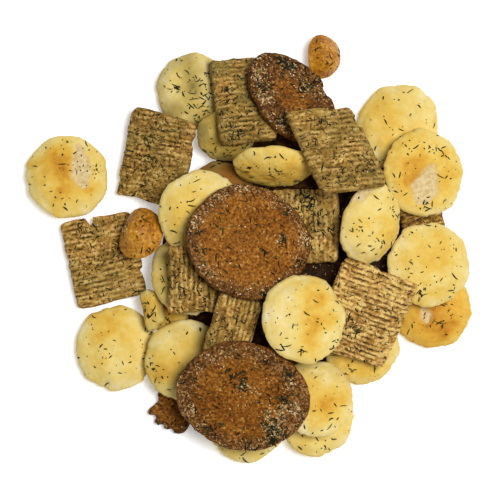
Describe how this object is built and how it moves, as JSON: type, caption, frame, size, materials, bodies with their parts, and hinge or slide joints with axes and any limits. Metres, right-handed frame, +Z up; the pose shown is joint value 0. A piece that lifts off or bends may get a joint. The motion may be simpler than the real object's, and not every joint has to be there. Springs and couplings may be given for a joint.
{
  "type": "heap of snack mix",
  "caption": "Loose heap of dill-seasoned snack mix: round puffed crackers, shredded wheat squares, brown rye chips and small corn nuggets, lying as poured.",
  "frame": {"origin": "middle of the heap's footprint, on the surface it lies on", "axes": "+Z up; +X to the right and +Y to the top of the picture, which looks straight down"},
  "size_m": [0.1356, 0.1302, 0.0332],
  "materials": {
    "cracker": "baked soda cracker crust, pale straw to golden, dry and matt",
    "wheat_square": "shredded wholewheat, tan, dry and rough",
    "rye_chip": "rye crispbread, amber brown, gritty, slightly oily",
    "corn_nugget": "toasted corn, golden orange, gritty",
    "crumbs": "loose crumbs, brown, matt",
    "dill": "dried dill leaf, near black green, matt",
    "seasoning": "grains of dried onion and salt, cream to tan"
  },
  "bodies": {
    "root": {"snack_mix_heap": "cracker"}
  },
  "joints": []
}
